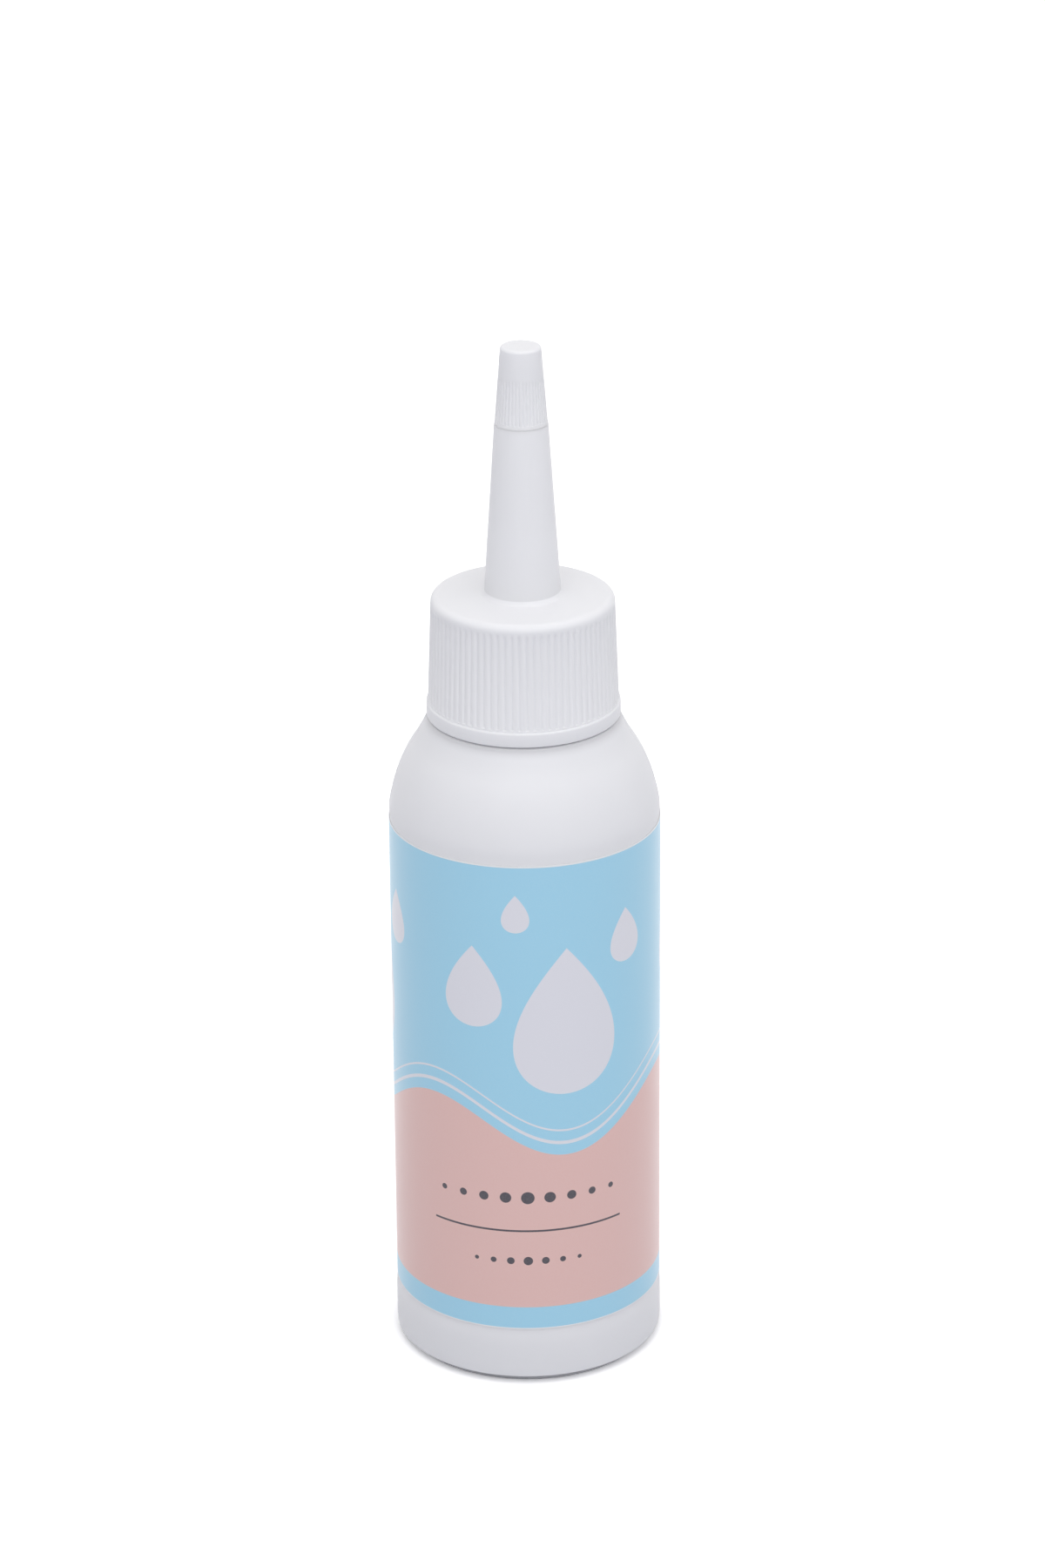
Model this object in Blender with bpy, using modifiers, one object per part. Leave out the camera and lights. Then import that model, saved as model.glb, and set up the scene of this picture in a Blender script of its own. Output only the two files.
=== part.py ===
"""Squeeze bottle with a screwed nozzle cap and a pull-off tip cap, closed and standing on z = 0.

Metres, +Z up. Every turned piece is on the axis x = y = 0, and the label's front faces -Y.
"""

import math

import bmesh
import bpy
from mathutils import Matrix

MM = 0.001

# Clearances
SEAT_GAP = 0.3 * MM  # between two pieces that rest or press on each other
THREAD_GAP = 0.25 * MM  # from a thread's crest to the wall that it runs along
FLANK_GAP = 0.3 * MM  # between the flanks of the two threads
LABEL_GAP = 0.1 * MM  # under the label
CUT_OVERRUN = 0.5 * MM  # by which a cutter passes the surface that it cuts
MERGE_DISTANCE = 0.005 * MM

# Bottle, blow moulded: body
BODY_RADIUS = 20.1 * MM
BODY_HEIGHT = 85.2 * MM  # from the foot up to the upper edge of the label's panel
BODY_WALL = 0.95 * MM
SHOULDER_HEIGHT = 15.0 * MM
SHOULDER_LEAD = 1.0 * MM  # by which the shoulder's curve starts below that edge
SHOULDER_FULLNESS = 1.81  # exponent of the curve: 2 is an ellipse, less is leaner
COLLAR_RADIUS = 14.25 * MM  # of the shoulder's raised edge under the cap
COLLAR_GAP = 0.55 * MM  # from the skirt's foot down to it
COLLAR_ROUND = 0.5 * MM
COLLAR_FLARE = 2.2 * MM  # width over which the shoulder rises to it
HEEL_EDGE = 1.25 * MM  # height of the crisp edge where the side ends and the heel slopes in
HEEL_SLOPE = 1.3 * MM  # radial run of that slope
INNER_HEEL_RADIUS = 1.0 * MM
FOOT_WIDTH = 2.6 * MM  # of the flat ring that the bottle stands on
BASE_HOLLOW = 1.5 * MM  # depth of the hollow inside that ring
BASE_HOLLOW_SLOPE = 3.0 * MM  # radial run of the hollow's side
PANEL_DEPTH = 0.3 * MM  # of the shallow recess that holds the label
PANEL_EDGE = 0.3 * MM  # height over which the recess runs out
PANEL_MARGIN = 0.1 * MM  # of the recess that shows above and below the label

# Bottle: neck of the 24 mm size, with one and a half turns of thread
NECK_RADIUS = 10.65 * MM  # at the thread's root
NECK_HEIGHT = 16.5 * MM
NECK_WALL = 1.6 * MM
NECK_ROOT_FILLET = 0.5 * MM
LIP_ROUND = 0.35 * MM
THREAD_PITCH = 3.175 * MM
THREAD_DEPTH = 1.2 * MM
THREAD_ROOT_WIDTH = 1.9 * MM
THREAD_CREST_WIDTH = 0.8 * MM
THREAD_DROP = 2.4 * MM  # from the lip down to the middle of the thread's upper end
THREAD_TURNS = 1.5
THREAD_EMBED = 0.5 * MM  # by which a thread's foot is sunk in the wall that carries it

# Label, a film wrapped once round the body
LABEL_FOOT = 9.3 * MM  # height of its lower edge
LABEL_THICKNESS = 0.12 * MM
LABEL_CORNER = 1.5 * MM
LABEL_END_GAP = 2.2 * MM  # between its two ends, at the back

# Sealing washer, pressed on the lip by the cap
WASHER_THICKNESS = 0.8 * MM
WASHER_OVERSIZE = 0.2 * MM  # by which its hole is wider than the bottle's mouth
WASHER_SIDE_GAP = 0.4 * MM  # to the inside of the skirt

# Nozzle cap, one moulding: skirt, flange and top
SKIRT_WALL = 1.85 * MM  # at the flange, over the ribs
SKIRT_TAPER = 0.55 * MM  # by which the skirt is slimmer at its top
SKIRT_FOOT_GAP = 0.7 * MM  # from the neck's root up to the skirt's foot
SKIRT_MOUTH_CHAMFER = 0.5 * MM
FLANGE_HEIGHT = 2.2 * MM
FLANGE_LIP = 0.25 * MM  # by which the flange stands out past the ribs
FLANGE_ROUND = 0.35 * MM
TOP_THICKNESS = 1.2 * MM
TOP_EDGE_RADIUS = 1.1 * MM
RIB_COUNT = 80
RIB_DEPTH = 0.28 * MM
RIB_GROOVE_WIDTH = 0.62 * MM  # between two ribs, at their crests
RIB_GROOVE_FLOOR = 0.26 * MM
RIB_FOOT_RISE = 0.25 * MM  # from the flange up to where the ribs start
RIB_TOP_DROP = 2.4 * MM  # from the cap's top down to where they end
RIB_RUN_OUT = 0.5 * MM  # height over which a groove's floor rises at its end
CAP_THREAD_ROOT_WIDTH = 1.25 * MM
CAP_THREAD_CREST_WIDTH = 0.6 * MM
CAP_THREAD_TURNS = 1.4
CAP_THREAD_LEAD_TURNS = 0.05  # by which it starts ahead of the bottle's thread

# Nozzle cap: nozzle, and the spigot at its end that the tip cap is pushed on
NOZZLE_LENGTH = 26.0 * MM  # from the cap's top to the tip cap's seat
NOZZLE_ROOT_RADIUS = 5.45 * MM
NOZZLE_SEAT_RADIUS = 3.9 * MM
NOZZLE_WALL = 0.9 * MM
NOZZLE_FILLET = 1.3 * MM
SEAT_CHAMFER = 0.15 * MM
SPIGOT_LENGTH = 8.8 * MM
SPIGOT_TAPER = 0.75 * MM  # by which the spigot is slimmer at its end
SPIGOT_BEAD = 0.12 * MM  # height of the ring that the tip cap snaps over
SPIGOT_BEAD_RISE = 1.6 * MM  # from the seat up to the middle of that ring
SPIGOT_END_WALL = 0.45 * MM
ORIFICE_RADIUS = 0.9 * MM
ORIFICE_LENGTH = 2.6 * MM
ORIFICE_CONE = 0.9 * MM  # height over which the bore narrows to the orifice

# Tip cap, pulled off to pour
TIP_LENGTH = 11.3 * MM
TIP_TOP_RADIUS = 2.97 * MM
TIP_WALL = 0.75 * MM
TIP_LIP_HEIGHT = 0.5 * MM
TIP_LIP = 0.12 * MM  # by which the lip at its foot stands out
TIP_EDGE_RADIUS = 0.55 * MM
TIP_RIB_COUNT = 40
TIP_RIB_DEPTH = 0.12 * MM
TIP_RIB_GROOVE_WIDTH = 0.32 * MM
TIP_RIB_GROOVE_FLOOR = 0.16 * MM
TIP_RIB_FOOT_RISE = 0.1 * MM
TIP_RIB_RUN_OUT = 0.4 * MM
TIP_RIB_SHARE = 0.65  # of the side's height, from the lip up
TIP_PIN_LENGTH = 2.0 * MM  # by which the sealing pin reaches into the orifice
TIP_PIN_TAPER_SHARE = 0.5  # of that length
TIP_PIN_END_SHARE = 0.6  # of the pin's radius

# How finely round shapes are cut
BODY_STEPS = 64
CAP_STEPS = 48
TIP_STEPS = 32
THREAD_STEPS = 36  # in one turn
THREAD_FADE_STEPS = 3  # over which a thread rises out of its wall at each end

# Heights, worked out from the sizes above
neck_root_z = BODY_HEIGHT + SHOULDER_HEIGHT
lip_z = neck_root_z + NECK_HEIGHT
thread_low_z = lip_z - THREAD_DROP - THREAD_PITCH * THREAD_TURNS
label_top_z = BODY_HEIGHT - PANEL_EDGE - PANEL_MARGIN
washer_z = lip_z + SEAT_GAP
ceiling_z = washer_z + WASHER_THICKNESS + SEAT_GAP
cap_top_z = ceiling_z + TOP_THICKNESS
skirt_foot_z = neck_root_z + SKIRT_FOOT_GAP
seat_z = cap_top_z + NOZZLE_LENGTH
spigot_end_z = seat_z + SPIGOT_LENGTH
tip_foot_z = seat_z + SEAT_GAP
collar_z = skirt_foot_z - COLLAR_GAP

# Radii, worked out from the sizes above
panel_radius = BODY_RADIUS - PANEL_DEPTH
mouth_radius = NECK_RADIUS - NECK_WALL
thread_crest_radius = NECK_RADIUS + THREAD_DEPTH
skirt_bore_radius = thread_crest_radius + THREAD_GAP
cap_thread_crest_radius = NECK_RADIUS + THREAD_GAP
skirt_foot_radius = skirt_bore_radius + SKIRT_WALL
skirt_top_radius = skirt_foot_radius - SKIRT_TAPER
flange_radius = skirt_foot_radius + FLANGE_LIP
tip_side_radius = NOZZLE_SEAT_RADIUS - TIP_LIP
spigot_radius = tip_side_radius - TIP_WALL - SEAT_GAP
spigot_end_radius = spigot_radius - SPIGOT_TAPER


def clear_scene():
    for obj in list(bpy.data.objects):
        bpy.data.objects.remove(obj)


def new_collection(name):
    collection = bpy.data.collections.new(name)
    bpy.context.scene.collection.children.link(collection)
    return collection


def plastic(name, colour, roughness):
    material = bpy.data.materials.new(name)
    material.use_nodes = True
    shader = material.node_tree.nodes["Principled BSDF"]
    shader.inputs["Base Color"].default_value = (*colour, 1.0)
    shader.inputs["Roughness"].default_value = roughness
    shader.inputs["Metallic"].default_value = 0.0
    return material


def new_object(name, mesh, material, collection):
    obj = bpy.data.objects.new(name, mesh)
    collection.objects.link(obj)
    if material:
        mesh.materials.append(material)
    return obj


def mix(a, b, share):
    return a + (b - a) * share


def arc(centre_radius, centre_z, radius, start_deg, end_deg, segments):
    """Points of a round corner in a turned profile."""
    points = []
    for i in range(segments + 1):
        angle = math.radians(mix(start_deg, end_deg, i / segments))
        points.append((centre_radius + radius * math.cos(angle), centre_z + radius * math.sin(angle)))
    return points


def shoulder(neck_radius, side_radius, low_z, high_z, start_z, end_radius, segments):
    """Points of a shoulder's curve, from a height up to a radius."""
    power = 2 / SHOULDER_FULLNESS
    start = math.asin(((start_z - low_z) / (high_z - low_z)) ** (1 / power))
    end = math.acos(((end_radius - neck_radius) / (side_radius - neck_radius)) ** (1 / power))
    points = []
    for i in range(segments + 1):
        angle = mix(start, end, i / segments)
        radius = mix(neck_radius, side_radius, abs(math.cos(angle)) ** power)
        points.append((radius, mix(low_z, high_z, math.sin(angle) ** power)))
    return points


def turned(name, profile, steps, material, collection, closed=False):
    """A profile of (radius, height) points turned about Z, its outer side running down."""
    edges = [(i, i + 1) for i in range(len(profile) - 1)]
    if closed:
        edges.append((len(profile) - 1, 0))
    mesh = bpy.data.meshes.new(name)
    mesh.from_pydata([(radius, 0.0, z) for radius, z in profile], edges, [])
    obj = new_object(name, mesh, material, collection)
    screw = obj.modifiers.new("Turn", "SCREW")
    screw.steps = steps
    screw.render_steps = steps
    screw.use_merge_vertices = True
    screw.merge_threshold = MERGE_DISTANCE
    return obj


def loft(name, bodies, collection):
    """Closed bodies in one mesh, each through its own rings of points."""
    mesh = bpy.data.meshes.new(name)
    bm = bmesh.new()
    for rings in bodies:
        loops = [[bm.verts.new(point) for point in ring] for ring in rings]
        for lower, upper in zip(loops, loops[1:]):
            for i, vert in enumerate(lower):
                j = (i + 1) % len(lower)
                bm.faces.new((vert, lower[j], upper[j], upper[i]))
        bm.faces.new(loops[0])
        bm.faces.new(loops[-1])
    bmesh.ops.recalc_face_normals(bm, faces=bm.faces)
    bm.to_mesh(mesh)
    bm.free()
    return new_object(name, mesh, None, collection)


def swing(radius, across, z, angle):
    """The point at a radius, a sideways offset and a height, swung round Z by an angle."""
    return (
        radius * math.cos(angle) - across * math.sin(angle),
        radius * math.sin(angle) + across * math.cos(angle),
        z,
    )


def thread(name, root_radius, crest_radius, root_width, crest_width, low_z, start_turn, turns, collection):
    """A right-hand helical ridge. Its foot is sunk in the wall, and both of its ends fade into it."""
    foot_radius = root_radius - math.copysign(THREAD_EMBED, crest_radius - root_radius)
    steps = round(turns * THREAD_STEPS)
    rings = []
    for i in range(steps + 1):
        turn = turns * i / steps
        middle_z = low_z + THREAD_PITCH * turn
        growth = min(1.0, i / THREAD_FADE_STEPS, (steps - i) / THREAD_FADE_STEPS)
        crest = mix(mix(foot_radius, root_radius, 0.5), crest_radius, growth)
        section = (
            (foot_radius, middle_z - root_width / 2),
            (crest, middle_z - crest_width / 2),
            (crest, middle_z + crest_width / 2),
            (foot_radius, middle_z + root_width / 2),
        )
        angle = 2 * math.pi * (start_turn + turn)
        rings.append([swing(radius, 0.0, z, angle) for radius, z in section])
    return loft(name, [rings], collection)


def grip_grooves(name, count, low, high, depth, width, floor_width, run_out, collection):
    """Cutters for the grooves between grip ribs, each from its low to its high (radius, height)."""
    mouth_width = mix(floor_width, width, 1 + CUT_OVERRUN / depth)
    bodies = []
    for n in range(count):
        angle = 2 * math.pi * (n + 0.5) / count
        rings = []
        for (radius, z), floor_drop in ((low, 0.0), (high, run_out)):
            section = (
                (radius - depth, -floor_width / 2, z - floor_drop),
                (radius - depth, floor_width / 2, z - floor_drop),
                (radius + CUT_OVERRUN, mouth_width / 2, z),
                (radius + CUT_OVERRUN, -mouth_width / 2, z),
            )
            rings.append([swing(*point, angle) for point in section])
        bodies.append(rings)
    return loft(name, bodies, collection)


def combine(obj, other, operation):
    """Joins a helper to a piece or cuts the piece with it. The helper moves with the piece."""
    boolean = obj.modifiers.new(operation.title(), "BOOLEAN")
    boolean.operation = operation
    boolean.solver = "EXACT"
    boolean.object = other
    other.parent = obj
    other.hide_render = True
    other.display_type = "WIRE"


def make_bottle(parts, helpers):
    """Blow-moulded body, shoulder with its collar, and threaded neck in one piece, open at the mouth."""
    foot_radius = BODY_RADIUS - HEEL_SLOPE
    hollow_radius = foot_radius - FOOT_WIDTH
    crown_radius = hollow_radius - BASE_HOLLOW_SLOPE
    inner_radius = panel_radius - BODY_WALL
    shoulder_low_z = BODY_HEIGHT - SHOULDER_LEAD
    profile = [
        (0.0, BASE_HOLLOW + BODY_WALL),
        (crown_radius, BASE_HOLLOW + BODY_WALL),
        (hollow_radius, BODY_WALL),
    ]
    profile += arc(
        inner_radius - INNER_HEEL_RADIUS, BODY_WALL + INNER_HEEL_RADIUS, INNER_HEEL_RADIUS, -90, 0, 2
    )
    profile += shoulder(
        mouth_radius, inner_radius, shoulder_low_z, neck_root_z - BODY_WALL, shoulder_low_z, mouth_radius, 8
    )
    profile += [(mouth_radius, lip_z)]
    profile += arc(NECK_RADIUS - LIP_ROUND, lip_z - LIP_ROUND, LIP_ROUND, 90, 0, 2)
    fillet_radius = NECK_RADIUS + NECK_ROOT_FILLET
    profile += arc(fillet_radius, collar_z + NECK_ROOT_FILLET, NECK_ROOT_FILLET, 180, 270, 3)
    profile += arc(COLLAR_RADIUS - COLLAR_ROUND, collar_z - COLLAR_ROUND, COLLAR_ROUND, 90, 0, 3)
    dome = shoulder(fillet_radius, BODY_RADIUS, shoulder_low_z, neck_root_z, BODY_HEIGHT, COLLAR_RADIUS, 12)
    flare_rise = collar_z - COLLAR_ROUND - dome[-1][1]
    outer_shoulder = []
    for radius, z in dome[:-1]:
        nearness = max(0.0, 1 - (radius - COLLAR_RADIUS) / COLLAR_FLARE)
        outer_shoulder.append((radius, z + flare_rise * nearness**2))
    profile += reversed(outer_shoulder)
    profile += [
        (panel_radius, BODY_HEIGHT - PANEL_EDGE),
        (panel_radius, LABEL_FOOT - PANEL_MARGIN),
        (BODY_RADIUS, LABEL_FOOT - PANEL_MARGIN - PANEL_EDGE),
        (BODY_RADIUS, HEEL_EDGE),
        (foot_radius, 0.0),
        (hollow_radius, 0.0),
        (crown_radius, BASE_HOLLOW),
        (0.0, BASE_HOLLOW),
    ]
    material = plastic("bottle_white", (0.83, 0.83, 0.84), 0.42)
    body = turned("bottle", profile, BODY_STEPS, material, parts)
    ridge = thread(
        "neck_thread_helper",
        NECK_RADIUS,
        thread_crest_radius,
        THREAD_ROOT_WIDTH,
        THREAD_CREST_WIDTH,
        thread_low_z,
        0.0,
        THREAD_TURNS,
        helpers,
    )
    combine(body, ridge, "UNION")
    return body


def make_label(parts):
    """A sheet with round corners, wrapped round the body with its middle to the front."""
    radius = panel_radius + LABEL_GAP
    width = 2 * math.pi * radius - LABEL_END_GAP
    height = label_top_z - LABEL_FOOT
    mesh = bpy.data.meshes.new("label")
    bm = bmesh.new()
    bmesh.ops.create_grid(
        bm, x_segments=BODY_STEPS, y_segments=1, size=0.5, matrix=Matrix.Diagonal((width, height, 1, 1))
    )
    corners = [vert for vert in bm.verts if len(vert.link_edges) == 2]
    bmesh.ops.bevel(
        bm,
        geom=corners,
        affect="VERTICES",
        offset=LABEL_CORNER,
        segments=4,
        profile=0.5,
        clamp_overlap=True,
        material=-1,
    )
    for vert in bm.verts:
        angle = vert.co.x / radius - math.pi / 2
        vert.co = swing(radius, 0.0, vert.co.y + height / 2, angle)
    bm.to_mesh(mesh)
    bm.free()
    mesh.shade_smooth()
    film = new_object("label", mesh, plastic("label_film", (0.35, 0.63, 0.78), 0.45), parts)
    solid = film.modifiers.new("Film", "SOLIDIFY")
    solid.thickness = LABEL_THICKNESS
    solid.offset = 1.0
    return film


def make_washer(parts):
    """Foam ring under the cap's top."""
    inner = mouth_radius + WASHER_OVERSIZE
    outer = skirt_bore_radius - WASHER_SIDE_GAP
    profile = [(inner, WASHER_THICKNESS), (outer, WASHER_THICKNESS), (outer, 0.0), (inner, 0.0)]
    foam = plastic("washer_foam", (0.88, 0.88, 0.86), 0.8)
    return turned("sealing_washer", profile, CAP_STEPS, foam, parts, closed=True)


def make_nozzle_cap(parts, helpers):
    """Ribbed screw cap and long nozzle in one moulding, drawn from the skirt's foot up."""
    ceiling = ceiling_z - skirt_foot_z
    top = cap_top_z - skirt_foot_z
    seat = seat_z - skirt_foot_z
    end = spigot_end_z - skirt_foot_z
    bead = seat + SPIGOT_BEAD_RISE
    bead_radius = mix(spigot_radius, spigot_end_radius, SPIGOT_BEAD_RISE / SPIGOT_LENGTH)
    bore_radius = spigot_end_radius - SPIGOT_END_WALL
    profile = [
        (ORIFICE_RADIUS, end),
        (spigot_end_radius - SEAT_CHAMFER, end),
        (spigot_end_radius, end - SEAT_CHAMFER),
        (bead_radius, bead + 2 * SPIGOT_BEAD),
        (bead_radius + SPIGOT_BEAD, bead),
        (bead_radius, bead - 2 * SPIGOT_BEAD),
        (spigot_radius, seat),
        (NOZZLE_SEAT_RADIUS - SEAT_CHAMFER, seat),
        (NOZZLE_SEAT_RADIUS, seat - SEAT_CHAMFER),
    ]
    profile += arc(NOZZLE_ROOT_RADIUS + NOZZLE_FILLET, top + NOZZLE_FILLET, NOZZLE_FILLET, 180, 270, 5)
    profile += arc(skirt_top_radius - TOP_EDGE_RADIUS, top - TOP_EDGE_RADIUS, TOP_EDGE_RADIUS, 90, 0, 4)
    profile += [(skirt_foot_radius, FLANGE_HEIGHT)]
    profile += arc(flange_radius - FLANGE_ROUND, FLANGE_HEIGHT - FLANGE_ROUND, FLANGE_ROUND, 75, 0, 2)
    profile += [
        (flange_radius, 0.0),
        (skirt_bore_radius + SKIRT_MOUTH_CHAMFER, 0.0),
        (skirt_bore_radius, SKIRT_MOUTH_CHAMFER),
        (skirt_bore_radius, ceiling),
        (NOZZLE_ROOT_RADIUS - NOZZLE_WALL, ceiling),
        (NOZZLE_SEAT_RADIUS - NOZZLE_WALL, seat - NOZZLE_WALL),
        (bore_radius, seat),
        (bore_radius, end - ORIFICE_LENGTH - ORIFICE_CONE),
        (ORIFICE_RADIUS, end - ORIFICE_LENGTH),
    ]
    material = plastic("cap_white", (0.86, 0.86, 0.88), 0.36)
    cap = turned("nozzle_cap", profile, CAP_STEPS, material, parts, closed=True)

    # The cap's ridge runs a flank gap under the bottle's, whose width is taken at its crest.
    ridge_foot = NECK_RADIUS - THREAD_EMBED
    width_share = (cap_thread_crest_radius - ridge_foot) / (thread_crest_radius - ridge_foot)
    bottle_ridge_width = mix(THREAD_ROOT_WIDTH, THREAD_CREST_WIDTH, width_share)
    ridge_drop = (bottle_ridge_width + CAP_THREAD_CREST_WIDTH) / 2 + FLANK_GAP
    ridge_low_z = thread_low_z - ridge_drop - THREAD_PITCH * CAP_THREAD_LEAD_TURNS
    ridge = thread(
        "cap_thread_helper",
        skirt_bore_radius,
        cap_thread_crest_radius,
        CAP_THREAD_ROOT_WIDTH,
        CAP_THREAD_CREST_WIDTH,
        ridge_low_z - skirt_foot_z,
        -CAP_THREAD_LEAD_TURNS,
        CAP_THREAD_TURNS,
        helpers,
    )
    combine(cap, ridge, "UNION")

    side_top = top - TOP_EDGE_RADIUS
    rib_ends = []
    for z in (FLANGE_HEIGHT + RIB_FOOT_RISE, top - RIB_TOP_DROP):
        share = (z - FLANGE_HEIGHT) / (side_top - FLANGE_HEIGHT)
        rib_ends.append((mix(skirt_foot_radius, skirt_top_radius, share), z))
    cutters = grip_grooves(
        "rib_groove_helper",
        RIB_COUNT,
        *rib_ends,
        RIB_DEPTH,
        RIB_GROOVE_WIDTH,
        RIB_GROOVE_FLOOR,
        RIB_RUN_OUT,
        helpers,
    )
    combine(cap, cutters, "DIFFERENCE")
    return cap


def make_tip_cap(parts, helpers):
    """Small ribbed cap for the nozzle's end, with a sealing pin inside, drawn from its foot up."""
    spigot_end = spigot_end_z - tip_foot_z
    cavity_end = spigot_end + SEAT_GAP
    slope = SPIGOT_TAPER / SPIGOT_LENGTH
    cavity_radius = spigot_radius + SEAT_GAP - slope * SEAT_GAP
    cavity_end_radius = cavity_radius - slope * cavity_end
    pin_radius = ORIFICE_RADIUS - SEAT_GAP
    side_top = TIP_LENGTH - TIP_EDGE_RADIUS
    profile = [(0.0, TIP_LENGTH)]
    profile += arc(TIP_TOP_RADIUS - TIP_EDGE_RADIUS, side_top, TIP_EDGE_RADIUS, 90, 0, 3)
    profile += [
        (tip_side_radius, TIP_LIP_HEIGHT),
        (NOZZLE_SEAT_RADIUS, TIP_LIP_HEIGHT - TIP_LIP),
        (NOZZLE_SEAT_RADIUS, SEAT_CHAMFER),
        (NOZZLE_SEAT_RADIUS - SEAT_CHAMFER, 0.0),
        (cavity_radius + SEAT_CHAMFER, 0.0),
        (cavity_radius, SEAT_CHAMFER),
        (cavity_end_radius, cavity_end),
        (pin_radius, cavity_end),
        (pin_radius, spigot_end - TIP_PIN_LENGTH * (1 - TIP_PIN_TAPER_SHARE)),
        (pin_radius * TIP_PIN_END_SHARE, spigot_end - TIP_PIN_LENGTH),
        (0.0, spigot_end - TIP_PIN_LENGTH),
    ]
    material = plastic("tip_white", (0.86, 0.86, 0.88), 0.36)
    tip = turned("tip_cap", profile, TIP_STEPS, material, parts)

    rib_ends = []
    for share in (TIP_RIB_FOOT_RISE / (side_top - TIP_LIP_HEIGHT), TIP_RIB_SHARE):
        rib_ends.append((mix(tip_side_radius, TIP_TOP_RADIUS, share), mix(TIP_LIP_HEIGHT, side_top, share)))
    cutters = grip_grooves(
        "tip_groove_helper",
        TIP_RIB_COUNT,
        *rib_ends,
        TIP_RIB_DEPTH,
        TIP_RIB_GROOVE_WIDTH,
        TIP_RIB_GROOVE_FLOOR,
        TIP_RIB_RUN_OUT,
        helpers,
    )
    combine(tip, cutters, "DIFFERENCE")
    return tip


def main():
    clear_scene()
    parts = new_collection("nozzle_bottle")
    helpers = new_collection("helpers")
    bottle = make_bottle(parts, helpers)
    label = make_label(parts)
    washer = make_washer(parts)
    nozzle_cap = make_nozzle_cap(parts, helpers)
    tip_cap = make_tip_cap(parts, helpers)

    # Each piece hangs on the one that carries it, and its origin is on the common axis.
    label.parent = bottle
    label.location.z = LABEL_FOOT
    washer.parent = bottle
    washer.location.z = washer_z
    nozzle_cap.parent = washer
    nozzle_cap.location.z = skirt_foot_z - washer_z
    tip_cap.parent = nozzle_cap
    tip_cap.location.z = tip_foot_z - skirt_foot_z
    for piece in (bottle, label, washer, nozzle_cap, tip_cap):
        piece.modifiers.new("Shading", "WEIGHTED_NORMAL")


main()
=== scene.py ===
import math

import bmesh
import bpy
from mathutils import Matrix, Vector


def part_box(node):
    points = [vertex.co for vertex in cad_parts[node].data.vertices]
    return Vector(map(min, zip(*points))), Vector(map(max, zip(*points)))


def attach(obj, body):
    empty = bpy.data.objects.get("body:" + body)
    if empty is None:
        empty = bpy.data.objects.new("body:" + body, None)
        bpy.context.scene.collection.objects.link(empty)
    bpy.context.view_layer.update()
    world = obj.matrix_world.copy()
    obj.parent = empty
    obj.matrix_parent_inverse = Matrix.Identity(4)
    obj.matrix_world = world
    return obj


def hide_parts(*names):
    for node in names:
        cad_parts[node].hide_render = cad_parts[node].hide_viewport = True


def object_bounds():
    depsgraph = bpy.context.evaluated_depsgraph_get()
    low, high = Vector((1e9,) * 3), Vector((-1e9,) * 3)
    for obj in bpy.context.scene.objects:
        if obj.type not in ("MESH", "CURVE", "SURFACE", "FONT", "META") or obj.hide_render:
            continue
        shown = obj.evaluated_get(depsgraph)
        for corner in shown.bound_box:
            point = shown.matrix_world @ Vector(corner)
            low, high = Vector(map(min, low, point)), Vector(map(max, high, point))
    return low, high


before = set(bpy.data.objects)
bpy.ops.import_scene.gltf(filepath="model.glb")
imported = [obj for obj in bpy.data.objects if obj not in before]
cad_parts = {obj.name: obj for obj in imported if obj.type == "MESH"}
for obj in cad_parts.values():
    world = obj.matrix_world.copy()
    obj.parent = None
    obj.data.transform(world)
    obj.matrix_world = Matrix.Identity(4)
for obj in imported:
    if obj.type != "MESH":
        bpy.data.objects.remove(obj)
cad_low, cad_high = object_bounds()


# The bottle is one blow moulding in white polyethylene: hollow foot, straight side with a shallow panel
# for the label, domed shoulder that flares up to a collar under the cap, and threaded neck. Its mould
# closes on the plane y = 0, and leaves a fine line down both sides and a pinched weld across the foot.
MM = 0.001
BOTTLE_SECTORS = 16
SECTOR_STEPS = 16  # columns in one sector of the bottle
HEEL_EDGE = 1.25 * MM  # height of the crisp edge where the side ends and the heel slopes in
HEEL_SLOPE = 1.3 * MM  # radial run of the heel
HEEL_ROUND = 0.18 * MM
HOLLOW_RADIUS = 16.2 * MM  # inside the ring that it stands on
HOLLOW_DEPTH = 1.5 * MM
HOLLOW_SLOPE = 3.0 * MM
WALL = 0.95 * MM
PANEL_EDGE = 2.4 * MM  # the height over which the panel runs out
PANEL_MARGIN = 0.1 * MM  # beyond the label
PANEL_CLEARANCE = 0.01 * MM  # behind the label
SHOULDER_LEAD = 0.7 * MM  # by which the shoulder's curve starts below the panel's upper edge
SHOULDER_FULLNESS = 1.78
SHOULDER_STEPS = 60
INNER_SHOULDER_STEPS = 20
COLLAR_RADIUS = 14.25 * MM
COLLAR_DROP = 0.2 * MM  # from the cap's lower edge
COLLAR_ROUND = 0.4 * MM
COLLAR_FLARE = 2.2 * MM  # width over which the shoulder turns up to the collar
NECK_RADIUS = 10.65 * MM
NECK_HEIGHT = 16.5 * MM
NECK_WALL = 1.6 * MM
NECK_FILLET = 0.5 * MM
LIP_ROUND = 0.35 * MM
MOUTH_ROUND = 0.2 * MM
THREAD_PITCH = 3.175 * MM
THREAD_DEPTH = 1.2 * MM
THREAD_DROP = 2.4 * MM  # from the lip to the thread's upper end
THREAD_TURNS = 1.5
THREAD_WIDTHS = (1.9 * MM, 0.8 * MM)  # at the wall and at the crest
THREAD_FADE_TURNS = 0.08
RING_SPACING = 0.16 * MM  # of the columns' points along a thread
SEAM_HEIGHT = 0.06 * MM
SEAM_WIDTH = 0.24 * MM
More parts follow.
